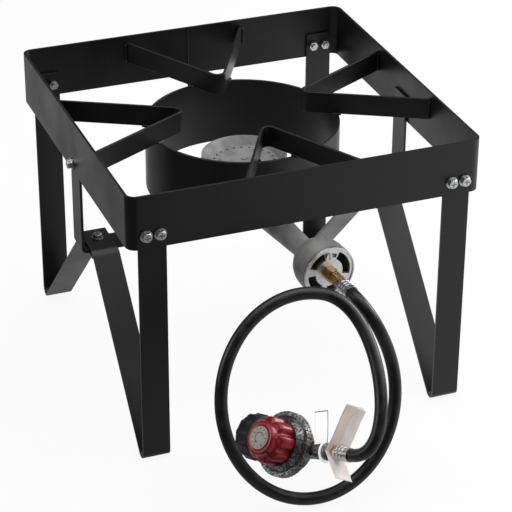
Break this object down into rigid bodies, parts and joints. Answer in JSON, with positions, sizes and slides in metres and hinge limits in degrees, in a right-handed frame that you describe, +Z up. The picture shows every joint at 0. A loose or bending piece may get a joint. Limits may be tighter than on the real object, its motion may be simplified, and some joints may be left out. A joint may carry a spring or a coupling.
{
  "type": "propane burner stand",
  "caption": "Square outdoor propane burner stand: bolted strap legs, wind ring, cast burner with venturi and air shutter, coiled hose and adjustable red-knob regulator.",
  "frame": {"origin": "on the ground, midway between the four feet", "axes": "+Z up; -Y is the front, where the venturi and hose come out; +X is to the right seen from the front"},
  "size_m": [0.4184, 0.5927, 0.33],
  "materials": {
    "black_paint": "satin",
    "zinc_steel": "bright zinc plate",
    "plated_sheet": "bright",
    "cast_iron": "grey, as cast",
    "brass": "machined",
    "hose_rubber": "satin",
    "seal_rubber": "matte",
    "die_cast_zinc": "as cast",
    "red_plastic": "gloss",
    "black_plastic": "satin",
    "paper": "matte"
  },
  "bodies": {
    "stand": {"top_band": "black_paint", "pot_support_front": "black_paint", "pot_support_right": "black_paint", "pot_support_rear": "black_paint", "pot_support_left": "black_paint", "wind_ring": "black_paint", "leg_front_left": "black_paint", "leg_front_right": "black_paint", "leg_rear_left": "black_paint", "leg_rear_right": "black_paint", "cross_strap": "black_paint", "leg_bolts": "zinc_steel", "leg_nuts": "zinc_steel", "hanger_bolts": "zinc_steel", "hanger_nuts": "zinc_steel", "brace_bolts": "zinc_steel", "brace_nuts": "zinc_steel", "burner_casting": "cast_iron", "burner_mount_bolt": "zinc_steel", "shutter_screw": "zinc_steel", "gas_orifice": "brass", "hose_swivel_nut": "brass", "hose_barb_burner": "brass", "hose_ferrule_burner": "plated_sheet", "hose": "hose_rubber", "hose_ferrule_regulator": "plated_sheet", "hose_barb_regulator": "brass", "regulator_body": "die_cast_zinc", "regulator_bonnet": "die_cast_zinc", "crimp_ring": "die_cast_zinc", "main_spring": "zinc_steel", "diaphragm": "seal_rubber", "lever_pin": "zinc_steel", "inlet_nipple": "brass", "inlet_seal": "seal_rubber", "warning_tag": "paper", "hang_tag": "paper"},
    "knob": {"adjusting_knob": "red_plastic", "knob_label": "paper", "adjusting_screw": "zinc_steel"},
    "spring_seat": {"spring_seat": "zinc_steel"},
    "air_shutter": {"air_shutter": "plated_sheet"},
    "tank_nut": {"tank_nut": "black_plastic"},
    "diaphragm_plate": {"diaphragm_plate": "zinc_steel"},
    "valve_lever": {"valve_lever": "zinc_steel"},
    "valve_stem": {"valve_stem": "brass"}
  },
  "joints": [
    {"name": "knob_turn", "type": "hinge", "parent": "stand", "child": "knob", "pos_m": [-0.07891, -0.29459, 0.06134], "axis": [0.8138, 0.2029, -0.5446], "range_deg": [0, 720]},
    {"name": "seat_slide", "type": "slide", "parent": "stand", "child": "spring_seat", "axis": [0.8138, 0.2029, -0.5446], "range_m": [0, 0.003], "deforming": ["main_spring"]},
    {"name": "shutter_turn", "type": "hinge", "parent": "stand", "child": "air_shutter", "pos_m": [0.02341, -0.20584, 0.201], "axis": [0.1011, -0.9949, 0], "range_deg": [0, 22]},
    {"name": "tank_nut_spin", "type": "hinge", "parent": "stand", "child": "tank_nut", "pos_m": [-0.07123, -0.23748, 0.028], "axis": [-0.3859, 0.8894, -0.2452], "continuous": true},
    {"name": "diaphragm_slide", "type": "slide", "parent": "stand", "child": "diaphragm_plate", "axis": [0.8138, 0.2029, -0.5446], "range_m": [0, 0.0008], "deforming": ["diaphragm"]},
    {"name": "lever_tilt", "type": "hinge", "parent": "stand", "child": "valve_lever", "pos_m": [-0.0599, -0.27605, 0.04157], "axis": [0.4346, 0.4097, 0.802], "range_deg": [0, 4]},
    {"name": "valve_slide", "type": "slide", "parent": "stand", "child": "valve_stem", "axis": [-0.3859, 0.8894, -0.2452], "range_m": [0, 0.00045]}
  ],
  "couplings": [
    {"joint": "seat_slide", "follows": "knob_turn", "m_per_rad": 0.00023873},
    {"joint": "diaphragm_slide", "follows": "lever_tilt", "m_per_rad": 0.0114},
    {"joint": "valve_slide", "follows": "lever_tilt", "m_per_rad": 0.0064}
  ]
}
